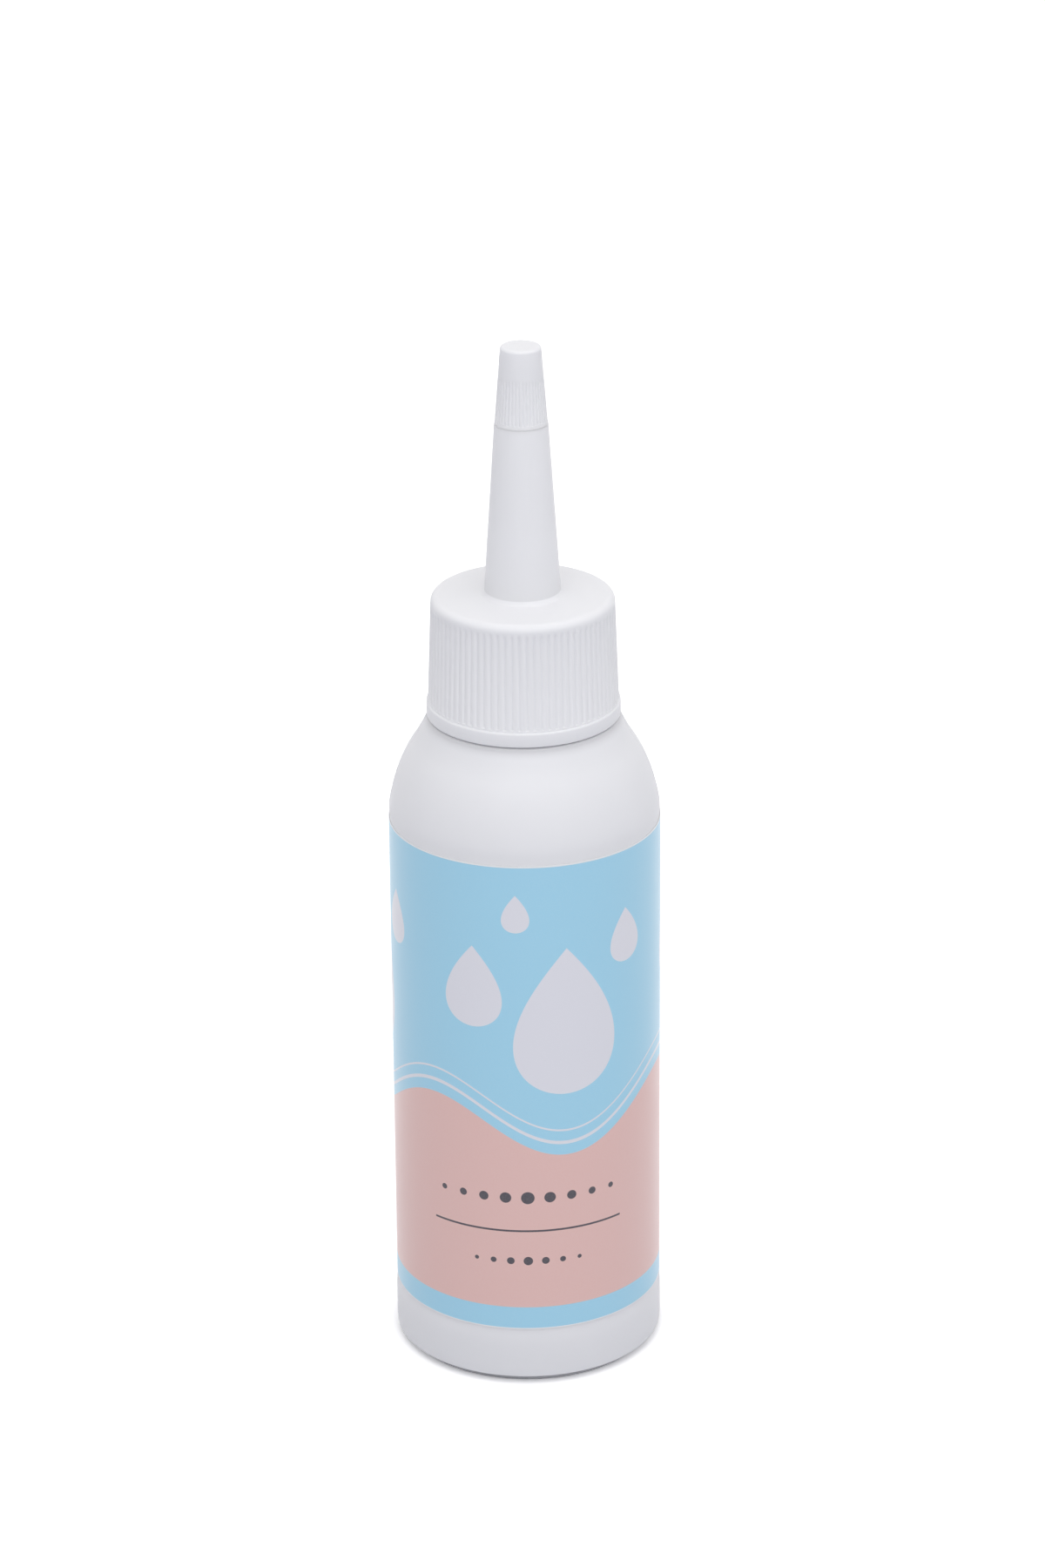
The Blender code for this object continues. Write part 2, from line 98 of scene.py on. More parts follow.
WELD_HEIGHT = 0.3 * MM
WELD_WIDTH = 0.9 * MM
WELD_LENGTH = 19.0 * MM
FACING = 0.5  # how far a point's normal has to lean a way, of 1, for it to face that way
LABEL_THICKNESS = 0.1 * MM
MERGE_DISTANCE = 0.002 * MM
SHARP_ANGLE = math.radians(40)


def mix(a, b, share):
    return a + (b - a) * share


def soften(share):
    """Eases a share in and out, and keeps it from 0 to 1."""
    share = min(1.0, max(0.0, share))
    return share * share * (3 - 2 * share)


def shares(steps):
    return [i / steps for i in range(steps + 1)]


def arc(centre_radius, centre_height, radius, start, end, steps):
    """A round corner of a turned outline, between two angles in degrees."""
    angles = [math.radians(mix(start, end, share)) for share in shares(steps)]
    return [(centre_radius + radius * math.cos(a), centre_height + radius * math.sin(a)) for a in angles]


def soft_step(start, end, steps, level_ends=False):
    """A stepped stretch of an outline with soft corners: upright at both ends, or level."""
    points = []
    for share in shares(steps):
        easy = soften(share)
        radius_share, height_share = (share, easy) if level_ends else (easy, share)
        points.append((mix(start[0], end[0], radius_share), mix(start[1], end[1], height_share)))
    return points


def dome(neck_radius, side_radius, low, high, start, end_radius, steps):
    """The shoulder's curve from a height up to a radius."""
    power = 2 / SHOULDER_FULLNESS
    first = math.asin(((start - low) / (high - low)) ** (1 / power))
    last = math.acos(((end_radius - neck_radius) / (side_radius - neck_radius)) ** (1 / power))
    points = []
    for share in shares(steps):
        angle = mix(first, last, share)
        radius = mix(neck_radius, side_radius, abs(math.cos(angle)) ** power)
        points.append((radius, mix(low, high, math.sin(angle) ** power)))
    return points


def turn(outline, sectors, sector_steps, closed=False):
    """The outline's (radius, height) points turned once round Z, as a closed skin that faces outwards.

    One sector is spun from the outline, and the rest are copies of it.
    """
    bm = bmesh.new()
    points = [bm.verts.new((radius, 0.0, height)) for radius, height in outline]
    pairs = list(zip(points, points[1:]))
    if closed:
        pairs.append((points[-1], points[0]))
    edges = [bm.edges.new(pair) for pair in pairs]
    sector = 2 * math.pi / sectors
    bmesh.ops.spin(bm, geom=points + edges, axis=(0, 0, 1), angle=sector, steps=sector_steps)
    bmesh.ops.spin(
        bm,
        geom=bm.verts[:] + bm.edges[:] + bm.faces[:],
        axis=(0, 0, 1),
        angle=2 * math.pi - sector,
        steps=sectors - 1,
        use_duplicate=True,
    )
    bmesh.ops.remove_doubles(bm, verts=bm.verts, dist=MERGE_DISTANCE)
    bmesh.ops.recalc_face_normals(bm, faces=bm.faces)
    return bm


def move_radially(vert, distance):
    radius = math.hypot(vert.co.x, vert.co.y)
    vert.co.x *= (radius + distance) / radius
    vert.co.y *= (radius + distance) / radius


def thread_share(place, low, start_turn, turns, widths):
    """How fully a right-hand thread stands out at a place, from 0 to 1. Both its ends fade."""
    root_width, crest_width = widths
    first = (math.atan2(place.y, place.x) / (2 * math.pi) - start_turn) % 1.0
    fullest = 0.0
    for lap in range(math.ceil(turns)):
        along = first + lap
        off = abs(place.z - low - THREAD_PITCH * along)
        flank = soften((root_width / 2 - off) / ((root_width - crest_width) / 2))
        fade = soften(min(along, turns - along) / THREAD_FADE_TURNS)
        fullest = max(fullest, flank * fade)
    return fullest


def cut_beside_seam(bm, offset, top):
    """Cuts what lies below a height along a plane beside the mould's parting plane."""
    faces = [face for face in bm.faces if max(vert.co.z for vert in face.verts) < top]
    edges = [edge for edge in bm.edges if max(vert.co.z for vert in edge.verts) < top]
    verts = [vert for vert in bm.verts if vert.co.z < top]
    bmesh.ops.bisect_plane(
        bm, geom=verts + edges + faces, dist=MERGE_DISTANCE, plane_co=(0, offset, 0), plane_no=(0, 1, 0)
    )


def new_piece(name, bm, material):
    mesh = bpy.data.meshes.new(name)
    bm.to_mesh(mesh)
    bm.free()
    mesh.shade_smooth()
    mesh.set_sharp_from_angle(angle=SHARP_ANGLE)
    mesh.materials.append(material)
    piece = bpy.data.objects.new(name, mesh)
    bpy.context.scene.collection.objects.link(piece)
    return piece


class Signal:
    """One output of a shader node. An expression on signals adds its own Math nodes."""

    def __init__(self, recipe, socket):
        self.recipe = recipe
        self.socket = socket

    def math(self, operation, *values):
        return self.recipe.node("ShaderNodeMath", {"operation": operation}, dict(enumerate(values)))

    def __add__(self, other):
        return self.math("ADD", self, other)

    def __sub__(self, other):
        return self.math("SUBTRACT", self, other)

    def __rsub__(self, other):
        return self.math("SUBTRACT", other, self)

    def __mul__(self, other):
        return self.math("MULTIPLY", self, other)

    def __truediv__(self, other):
        return self.math("DIVIDE", self, other)

    def __pow__(self, other):
        return self.math("POWER", self, other)

    def __abs__(self):
        return self.math("ABSOLUTE", self)

    __radd__ = __add__
    __rmul__ = __mul__

    def fraction(self):
        return self.math("FRACT", self)

    def cosine(self):
        return self.math("COSINE", self)

    def at_least(self, limit):
        return self.math("MAXIMUM", self, limit)

    def over(self, limit, softness):
        """1 where the signal is over the limit, 0 where it isn't, and soft between."""
        ends = {"From Min": limit - softness / 2, "From Max": limit + softness / 2}
        return self.recipe.node(
            "ShaderNodeMapRange", {"interpolation_type": "SMOOTHSTEP"}, {"Value": self, **ends}
        )


class Recipe:
    """The shader nodes of a material or of the world."""

    def __init__(self, owner):
        owner.use_nodes = True
        self.owner = owner
        self.tree = owner.node_tree

    def feed(self, node, sockets):
        for key, value in sockets.items():
            if isinstance(value, Signal):
                self.tree.links.new(value.socket, node.inputs[key])
            else:
                node.inputs[key].default_value = value

    def node(self, kind, settings=None, sockets=None, output=0):
        """A new node's output: its settings are set first, then its sockets' values or links."""
        node = self.tree.nodes.new(kind)
        for name, value in (settings or {}).items():
            setattr(node, name, value)
        self.feed(node, sockets or {})
        return Signal(self, node.outputs[output])

    def height(self):
        """The height on the piece, in metres."""
        place = self.node("ShaderNodeTexCoord", output="Object")
        return self.node("ShaderNodeSeparateXYZ", sockets={"Vector": place}, output="Z")

    def noise(self, size, detail=2.0, stretch=1.0):
        """Even noise from 0 to 1 on the piece, of a size in metres, drawn out along Z."""
        place = self.node("ShaderNodeTexCoord", output="Object")
        scale = (1 / size, 1 / size, 1 / (size * stretch))
        place = self.node("ShaderNodeMapping", sockets={"Vector": place, "Scale": scale})
        return self.node("ShaderNodeTexNoise", sockets={"Vector": place, "Scale": 1.0, "Detail": detail})

    def blend(self, share, under, over):
        """One colour laid over another by a share."""
        return self.node("ShaderNodeMix", {"data_type": "RGBA"}, {0: share, 6: under, 7: over}, 2)

    def bump(self, height, depth):
        return self.node("ShaderNodeBump", sockets={"Height": height, "Strength": 1.0, "Distance": depth})

    def finish(self, **sockets):
        """Feeds the Principled shader, whose sockets are named with underscores for spaces."""
        named = {key.replace("_", " "): value for key, value in sockets.items()}
        self.feed(self.tree.nodes["Principled BSDF"], named)
        return self.owner


MOTTLE_SIZE = 9 * MM
GRAIN_SIZE = 0.22 * MM
GRAIN_DEPTH = 0.003 * MM
GLOSS_CHANGE = 0.1  # of the roughness, from patch to patch
PLASTIC_SPECULAR = 0.4
GLOW = 0.6  # share of the light that spreads inside the plastic
GLOW_DEPTH = 0.7 * MM


def moulded_plastic(name, colour, shade, roughness, flow_stretch=1.0, painted_shades=()):
    """A translucent white plastic with a faint mottle, a patchy satin gloss and a fine moulded grain.

    Each of its painted shades is a grey that starts at a height, and fades out over a distance, up or
    down.
    """
    recipe = Recipe(bpy.data.materials.new(name))
    mottle = recipe.noise(MOTTLE_SIZE, stretch=flow_stretch)
    patches = recipe.noise(MOTTLE_SIZE / 3, stretch=flow_stretch)
    grain = recipe.noise(GRAIN_SIZE)
    colour = recipe.blend(mottle, shade, colour)
    # Painted shade: each grey darkens the colour from its start height, fading out up or down.
    for start, reach, painted_colour in painted_shades:
        along = (recipe.height() - start) / reach
        share = (1 - along).at_least(0) ** 2 * along.over(0, abs(GRAIN_SIZE / reach))
        colour = recipe.blend(share, colour, painted_colour)
    return recipe.finish(
        Base_Color=colour,
        Roughness=roughness + GLOSS_CHANGE * (patches - 0.5),
        Normal=recipe.bump(grain, GRAIN_DEPTH),
        Specular_IOR_Level=PLASTIC_SPECULAR,
        Subsurface_Weight=GLOW,
        Subsurface_Radius=(1.0, 1.0, 1.0),
        Subsurface_Scale=GLOW_DEPTH,
    )


bottle_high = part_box("bottle")[1]
label_low, label_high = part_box("label")
label_radius = -label_low.y
label_inner = label_radius - LABEL_THICKNESS
body_radius = bottle_high.x - SEAM_HEIGHT
panel_depth = body_radius - label_inner + PANEL_CLEARANCE
inner_radius = body_radius - panel_depth - WALL
mouth_radius = NECK_RADIUS - NECK_WALL
lip = bottle_high.z
neck_root = lip - NECK_HEIGHT
panel_low = label_low.z - PANEL_MARGIN
panel_high = label_high.z + PANEL_MARGIN
shoulder_low = panel_high - SHOULDER_LEAD
thread_low = lip - THREAD_DROP - THREAD_PITCH * THREAD_TURNS
thread_margin = THREAD_WIDTHS[0] / 2 + RING_SPACING
foot_radius = body_radius - HEEL_SLOPE
crown_radius = HOLLOW_RADIUS - HOLLOW_SLOPE
inner_heel = HEEL_EDGE - WALL / 2
fillet_radius = NECK_RADIUS + NECK_FILLET
heel_slant = math.degrees(math.atan2(HEEL_SLOPE, HEEL_EDGE))
heel_tangent = HEEL_ROUND * math.tan(math.radians(heel_slant / 2))
collar_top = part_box("nozzle_cap")[0].z - COLLAR_DROP
outer_shoulder = dome(
    fillet_radius,
    body_radius,
    shoulder_low,
    neck_root,
    panel_high,
    COLLAR_RADIUS,
    SHOULDER_STEPS,
)
dome_top = outer_shoulder[-1][1]


def panel_dip(height):
    """How far the label's panel lies back from the bottle's skin at a height."""
    below = soften((panel_high - height) / PANEL_EDGE + 1)
    above = soften((height - panel_low) / PANEL_EDGE + 1)
    return panel_depth * min(below, above)


def collar_rise(radius):
    """How far the shoulder rises over its dome at a radius, to flare up to the collar."""
    nearness = max(0.0, 1 - (radius - COLLAR_RADIUS) / COLLAR_FLARE)
    return (collar_top - COLLAR_ROUND - dome_top) * nearness**2


panel_foot = [panel_low - PANEL_EDGE * (1 - share) for share in shares(8)]
inner_shoulder = dome(
    mouth_radius,
    inner_radius,
    shoulder_low,
    neck_root - WALL,
    shoulder_low,
    mouth_radius,
    INNER_SHOULDER_STEPS,
)
thread_ends = (thread_low - thread_margin, thread_low + THREAD_PITCH * THREAD_TURNS + thread_margin)
thread_rings = shares(round((thread_ends[1] - thread_ends[0]) / RING_SPACING))

bottle_outline = [(0.0, HOLLOW_DEPTH)]
bottle_outline += [(crown_radius * share, HOLLOW_DEPTH) for share in (0.25, 0.5, 0.75)]
bottle_outline += soft_step((crown_radius, HOLLOW_DEPTH), (HOLLOW_RADIUS, 0.0), 10, level_ends=True)
bottle_outline += arc(foot_radius - HEEL_ROUND, HEEL_ROUND, HEEL_ROUND, -90, -heel_slant, 4)
bottle_outline += arc(body_radius - HEEL_ROUND, HEEL_EDGE + heel_tangent, HEEL_ROUND, -heel_slant, 0, 4)
bottle_outline += [(body_radius - panel_dip(height), height) for height in panel_foot]
bottle_outline += [
    (radius - panel_dip(height), height + collar_rise(radius)) for radius, height in outer_shoulder
]
bottle_outline += arc(COLLAR_RADIUS - COLLAR_ROUND, collar_top - COLLAR_ROUND, COLLAR_ROUND, 0, 90, 6)
bottle_outline += arc(fillet_radius, collar_top + NECK_FILLET, NECK_FILLET, 270, 180, 5)
bottle_outline += [(NECK_RADIUS, mix(*thread_ends, share)) for share in thread_rings]
bottle_outline += arc(NECK_RADIUS - LIP_ROUND, lip - LIP_ROUND, LIP_ROUND, 0, 90, 6)
bottle_outline += arc(mouth_radius + MOUTH_ROUND, lip - MOUTH_ROUND, MOUTH_ROUND, 90, 180, 4)
bottle_outline += reversed(inner_shoulder)
bottle_outline += arc(inner_radius - inner_heel, WALL + inner_heel, inner_heel, 0, -90, 5)
bottle_outline += soft_step(
    (HOLLOW_RADIUS, WALL), (crown_radius, HOLLOW_DEPTH + WALL), 6, level_ends=True
)
bottle_outline += [(0.0, HOLLOW_DEPTH + WALL)]

bottle_bm = turn(bottle_outline, BOTTLE_SECTORS, SECTOR_STEPS)
for vert in bottle_bm.verts:
    if vert.normal.xy.dot(vert.co.xy) > 0 and thread_ends[0] < vert.co.z < thread_ends[1]:
        share = thread_share(vert.co, thread_low, 0.0, THREAD_TURNS, THREAD_WIDTHS)
        move_radially(vert, THREAD_DEPTH * share)
for side in (-1, 1):
    cut_beside_seam(bottle_bm, side * SEAM_WIDTH / 2, cad_high.z)
    cut_beside_seam(bottle_bm, side * WELD_WIDTH / 2, HOLLOW_DEPTH + WALL / 2)
bottle_bm.normal_update()
for vert in bottle_bm.verts:
    on_seam = abs(vert.co.y) < MERGE_DISTANCE
    on_weld = abs(vert.co.y) < WELD_WIDTH / 4 and abs(vert.co.x) < WELD_LENGTH / 2
    if on_seam and vert.normal.x * vert.co.x > abs(vert.co.x) * FACING:
        move_radially(vert, SEAM_HEIGHT)
    elif on_weld and vert.normal.z < -FACING:
        vert.co.z -= WELD_HEIGHT

BOTTLE_WHITE = (0.84, 0.845, 0.87, 1.0)
BOTTLE_SHADE = (0.82, 0.825, 0.85, 1.0)
BOTTLE_ROUGHNESS = 0.44
# Painted shade: a grey round the shoulder's collar, where the cap's flange shades it.
COLLAR_PAINTED_SHADE = (0.6, 0.6, 0.62, 1.0)
COLLAR_PAINTED_SHADE_REACH = -1.7 * MM  # painted shade under the cap's flange, down from the collar's top
# Painted shade: a dark grey on the heel's slope and foot ring, which face the floor.
HEEL_PAINTED_SHADE = (0.36, 0.36, 0.38, 1.0)
HEEL_PAINTED_SHADE_REACH = -6.0 * MM  # painted shade, down from the heel's edge: past the foot, so the ring there is shaded too
polyethylene = moulded_plastic(
    "white_polyethylene",
    BOTTLE_WHITE,
    BOTTLE_SHADE,
    BOTTLE_ROUGHNESS,
    painted_shades=[
        (collar_top, COLLAR_PAINTED_SHADE_REACH, COLLAR_PAINTED_SHADE),
        (HEEL_EDGE, HEEL_PAINTED_SHADE_REACH, HEEL_PAINTED_SHADE),
    ],
)
bottle = new_piece("moulded_bottle", bottle_bm, polyethylene)
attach(bottle, "bottle")
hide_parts("bottle")


# The label is a printed plastic film with round corners, stuck once round the panel of the bottle with
# its ends a little apart at the back. Its print is a plain pattern on blue: water drops over a pink band
# with a wavy edge, and a rule between two rows of dots at the front.
LABEL_CORNER = 1.5 * MM
LABEL_END_GAP = 2.2 * MM
LABEL_COLUMNS = 240

label_width = 2 * math.pi * label_inner - LABEL_END_GAP
label_height = label_high.z - label_low.z

label_bm = bmesh.new()
bmesh.ops.create_grid(
    label_bm,
    x_segments=1,
    y_segments=1,
    size=0.5,
    matrix=Matrix.Diagonal((label_width, label_height, 1, 1)),
)
bmesh.ops.bevel(
    label_bm,
    geom=label_bm.verts[:],
    affect="VERTICES",
    offset=LABEL_CORNER,
    segments=6,
    profile=0.5,
    material=-1,
)
for column in range(1, LABEL_COLUMNS):
    cut = label_width * (column / LABEL_COLUMNS - 0.5)
    bmesh.ops.bisect_plane(
        label_bm,
        geom=label_bm.verts[:] + label_bm.edges[:] + label_bm.faces[:],
        dist=MERGE_DISTANCE,
        plane_co=(cut, 0, 0),
        plane_no=(1, 0, 0),
    )
bmesh.ops.recalc_face_normals(label_bm, faces=label_bm.faces)
sheet_map = label_bm.loops.layers.uv.new("sheet")
for face in label_bm.faces:
    for loop in face.loops:
        place = loop.vert.co
        loop[sheet_map].uv = (place.x / label_width + 0.5, place.y / label_height + 0.5)
bmesh.ops.solidify(label_bm, geom=label_bm.faces[:], thickness=LABEL_THICKNESS)
for vert in label_bm.verts:
    angle = vert.co.x / label_inner - math.pi / 2
    radius = label_radius if vert.co.z > -LABEL_THICKNESS / 2 else label_inner
    height = label_low.z + label_height / 2 + vert.co.y
    vert.co = (radius * math.cos(angle), radius * math.sin(angle), height)
bmesh.ops.recalc_face_normals(label_bm, faces=label_bm.faces)

# The print's sizes are in mm: across the label from its middle, and up from its foot.
BLUE_INK = (0.36, 0.69, 0.885, 1.0)
PINK_INK = (0.795, 0.515, 0.48, 1.0)
WHITE_INK = (0.78, 0.785, 0.85, 1.0)
DARK_INK = (0.03, 0.022, 0.038, 1.0)
FILM_WHITE = (0.86, 0.87, 0.89, 1.0)
PRINT_MARGIN = 0.2  # left bare along the upper and lower edges
PRINT_EDGE = 0.08  # the softness of a printed edge
PATTERN_REPEATS = 3  # round the bottle
PATTERN_MIDDLE = 6.0  # of the repeat at the front
BAND_FOOT = 3.7
BAND_TOP = 33.0
WAVE_HEIGHT = 4.2
WAVE_LINES = ((2.0, 0.55), (4.0, 0.3))  # over the band's edge: distance and width of each
DROPS = (  # beside the pattern's middle and over the label's foot, then width and height
    (0.0, 50.5, 16.0, 23.5),
    (-14.0, 56.0, 9.0, 13.0),
    (10.2, 62.0, 6.0, 8.6),
    (-7.5, 68.0, 4.2, 6.0),
)
RULE_HEIGHT = 16.5
RULE_LENGTH = 30.0
RULE_WIDTH = 0.32
DOT_ROWS = ((22.0, 3.3, 1.0, 9), (11.5, 2.6, 0.7, 7))  # height, spacing, largest radius and count
DOT_TAPER = 1.6  # half lengths of a row over which its dots would shrink to nothing
INK_GRAIN_SIZE = 0.25 * MM
INK_GRAIN = 0.1  # the most that the film shows through the ink
INK_DEPTH = 0.002 * MM
FILM_ROUGHNESS = 0.3
FILM_GLOSS_CHANGE = 0.08

film = Recipe(bpy.data.materials.new("printed_film"))
sheet = film.node("ShaderNodeUVMap", {"uv_map": "sheet"})
across_share = film.node("ShaderNodeSeparateXYZ", sockets={"Vector": sheet}, output="X")
up_share = film.node("ShaderNodeSeparateXYZ", sockets={"Vector": sheet}, output="Y")
across = (across_share - 0.5) * (label_width / MM)
up = up_share * (label_height / MM)
repeat = label_width / MM / PATTERN_REPEATS
beside = (((across - PATTERN_MIDDLE) / repeat + 0.5).fraction() - 0.5) * repeat


def drop_mask(centre_beside, centre_up, width, height):
    """A water drop with its point up. Its outline is y = (1 - x) * sqrt(1 + x), from -1 to 1."""
    along = (up - centre_up) / (height / 2)
    widest = 4 / 3 * math.sqrt(2 / 3)
    half = (1 - along) * (along + 1).at_least(0) ** 0.5 / widest
    inside = (half - abs(beside - centre_beside) / (width / 2)) * (width / 2)
    return inside.over(PRINT_EDGE / 2, PRINT_EDGE)


def dot_row(height, spacing, largest, count):
    """A row of round dots on the label's front, each smaller than the one nearer the middle."""
    from_dot = ((across / spacing + 0.5).fraction() - 0.5) * spacing
    reach = count * spacing / 2
    radius = largest * (1 - abs(across - from_dot) / (reach * DOT_TAPER))
    distance = (from_dot * from_dot + (up - height) * (up - height)) ** 0.5
    return (radius - distance).over(0, PRINT_EDGE) * (reach - abs(across)).over(0, PRINT_EDGE)


wave = BAND_TOP - WAVE_HEIGHT * (beside * (2 * math.pi / repeat)).cosine()
band = (wave - up).over(0, PRINT_EDGE) * (up - BAND_FOOT).over(0, PRINT_EDGE)
colour = film.blend(band, BLUE_INK, PINK_INK)
for distance, width in WAVE_LINES:
    colour = film.blend((width / 2 - abs(up - wave - distance)).over(0, PRINT_EDGE), colour, WHITE_INK)
for drop in DROPS:
    colour = film.blend(drop_mask(*drop), colour, WHITE_INK)
rule = (RULE_WIDTH / 2 - abs(up - RULE_HEIGHT)).over(0, PRINT_EDGE)
colour = film.blend(rule * (RULE_LENGTH / 2 - abs(across)).over(0, PRINT_EDGE), colour, DARK_INK)
for row in DOT_ROWS:
    colour = film.blend(dot_row(*row), colour, DARK_INK)
from_edge = label_height / MM / 2 - abs(up - label_height / MM / 2)
colour = film.blend(from_edge.over(PRINT_MARGIN, PRINT_EDGE), FILM_WHITE, colour)
ink_grain = film.noise(INK_GRAIN_SIZE)
label = new_piece(
    "wrap_label",
    label_bm,
    film.finish(
        Base_Color=film.blend(ink_grain * INK_GRAIN, colour, FILM_WHITE),
        Roughness=FILM_ROUGHNESS + FILM_GLOSS_CHANGE * (film.noise(MOTTLE_SIZE) - 0.5),
        Normal=film.bump(ink_grain, INK_DEPTH),
        Specular_IOR_Level=0.5,
    ),
)
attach(label, "bottle")
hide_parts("label")


# The sealing washer is a ring punched from white closed-cell foam and pressed up into the cap, where the
# bottle's lip squeezes it when the cap is screwed down.
WASHER_SECTORS = 8
WASHER_ROUND = 0.12 * MM
WASHER_CLEARANCE = 0.2 * MM  # of its hole round the bottle's mouth
CELL_SIZE = 0.35 * MM
CELL_DEPTH = 0.03 * MM
FOAM_SHADE = (0.8, 0.8, 0.78, 1.0)
FOAM_WHITE = (0.9, 0.9, 0.88, 1.0)
FOAM_ROUGHNESS = 0.7
FOAM_GLOSS_CHANGE = 0.2

washer_low, washer_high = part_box("sealing_washer")
washer_hole = mouth_radius + WASHER_CLEARANCE
washer_outline = []
for radius, height, start in (
    (washer_high.x - WASHER_ROUND, washer_low.z + WASHER_ROUND, -90),
    (washer_high.x - WASHER_ROUND, washer_high.z - WASHER_ROUND, 0),
    (washer_hole + WASHER_ROUND, washer_high.z - WASHER_ROUND, 90),
    (washer_hole + WASHER_ROUND, washer_low.z + WASHER_ROUND, 180),
):
    washer_outline += arc(radius, height, WASHER_ROUND, start, start + 90, 4)

foam = Recipe(bpy.data.materials.new("white_foam"))
cells = foam.noise(CELL_SIZE, detail=4.0)
washer = new_piece(
    "foam_washer",
    turn(washer_outline, WASHER_SECTORS, SECTOR_STEPS, closed=True),
    foam.finish(
        Base_Color=foam.blend(cells, FOAM_SHADE, FOAM_WHITE),
        Roughness=FOAM_ROUGHNESS + FOAM_GLOSS_CHANGE * cells,
        Normal=foam.bump(cells, CELL_DEPTH),
    ),
)
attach(washer, "washer")
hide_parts("sealing_washer")


# The nozzle cap is one injection moulding in white polypropylene: a skirt with fine grip ribs and a
# smooth flange, a thread inside it, and the long nozzle on top, which ends in a spigot for the tip cap.
RIB_COUNT = 80
RIB_STEPS = 8  # columns in one rib and its groove
RIB_DEPTH = 0.2 * MM
RIB_CREST = 0.4 * MM
RIB_FLANK = 0.28 * MM
RIB_FOOT_RISE = 0.25 * MM
RIB_TOP_DROP = 1.15 * MM  # from the cap's top
RIB_RUN_OUT = 1.1 * MM  # the height over which the grooves fade out at their upper end
RIB_START = 0.1 * MM  # the same at their lower end
SEAT_GAP = 0.3 * MM  # between the faces of pieces that fit together, as in the solids
THREAD_GAP = 0.25 * MM
TOP_THICKNESS = 1.2 * MM
TOP_EDGE_RADIUS = 1.1 * MM
SKIRT_WALL = 1.85 * MM
SKIRT_TAPER = 0.55 * MM
SKIRT_CHAMFER = 0.5 * MM
FLANGE_HEIGHT = 2.2 * MM
FLANGE_LIP = 0.25 * MM
FLANGE_ROUND = 0.35 * MM
FLANGE_ROUND_START = 75  # degrees, where the flange's upper round leaves the skirt
FLANGE_EDGE = 0.15 * MM
NOZZLE_ROOT_RADIUS = 5.58 * MM
NOZZLE_WALL = 0.9 * MM
NOZZLE_FILLET = 0.5 * MM
SEAT_ROUND = 0.03 * MM
SPIGOT_TAPER = 0.75 * MM
SPIGOT_BEAD = 0.12 * MM
SPIGOT_BEAD_RISE = 1.6 * MM
SPIGOT_END_WALL = 0.45 * MM
ORIFICE_RADIUS = 0.9 * MM
ORIFICE_LENGTH = 2.6 * MM
ORIFICE_CONE = 0.9 * MM
CAP_THREAD_DROP = 1.307 * MM  # of the cap's thread under the bottle's
CAP_THREAD_LEAD_TURNS = 0.05
CAP_THREAD_TURNS = 1.4
CAP_THREAD_WIDTHS = (1.25 * MM, 0.6 * MM)
CAP_RING_SPACING = 0.2 * MM
TIP_LIP = 0.12 * MM  # by which the seat stands out past the tip cap's side
TIP_WALL = 0.75 * MM

cap_low, cap_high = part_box("nozzle_cap")
tip_low, tip_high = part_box("tip_cap")
flange_radius = cap_high.x
skirt_radius = flange_radius - FLANGE_LIP
bore_radius = skirt_radius - SKIRT_WALL
top_radius = skirt_radius - SKIRT_TAPER
seat = tip_low.z - SEAT_GAP
seat_radius = tip_high.x
tip_side_radius = seat_radius - TIP_LIP
spigot_radius = tip_side_radius - TIP_WALL - SEAT_GAP
spigot_end_radius = spigot_radius - SPIGOT_TAPER
spigot_end = cap_high.z
channel_radius = spigot_end_radius - SPIGOT_END_WALL
ceiling = washer_high.z + SEAT_GAP
cap_top = ceiling + TOP_THICKNESS
flange_top = cap_low.z + FLANGE_HEIGHT
side_top = cap_top - TOP_EDGE_RADIUS


def skirt_radius_at(height):
    return mix(skirt_radius, top_radius, (height - flange_top) / (side_top - flange_top))


def groove_share(angle, count, pitch, crest, flank):
    """How deep the groove between two ribs is at an angle, from 0 on a rib's crest to 1 on its floor."""
    off = abs((angle * count / (2 * math.pi) + 0.5) % 1.0 - 0.5) * pitch
    return soften((off - crest / 2) / flank)


rib_low = flange_top + RIB_FOOT_RISE
rib_high = cap_top - RIB_TOP_DROP
rib_rings = [rib_low + RIB_START * share for share in shares(2)]
rib_rings += [rib_high - RIB_RUN_OUT * share for share in reversed(shares(5))]
cap_thread_low = thread_low - CAP_THREAD_DROP - THREAD_PITCH * CAP_THREAD_LEAD_TURNS
cap_thread_margin = CAP_THREAD_WIDTHS[0] / 2 + CAP_RING_SPACING
cap_thread_ends = (
    cap_thread_low - cap_thread_margin,
    cap_thread_low + THREAD_PITCH * CAP_THREAD_TURNS + cap_thread_margin,
)
cap_thread_rings = shares(round((cap_thread_ends[1] - cap_thread_ends[0]) / CAP_RING_SPACING))
bead = seat + SPIGOT_BEAD_RISE
bead_share = SPIGOT_BEAD_RISE / (spigot_end - seat)
bead_foot = mix(spigot_radius, spigot_end_radius, bead_share)

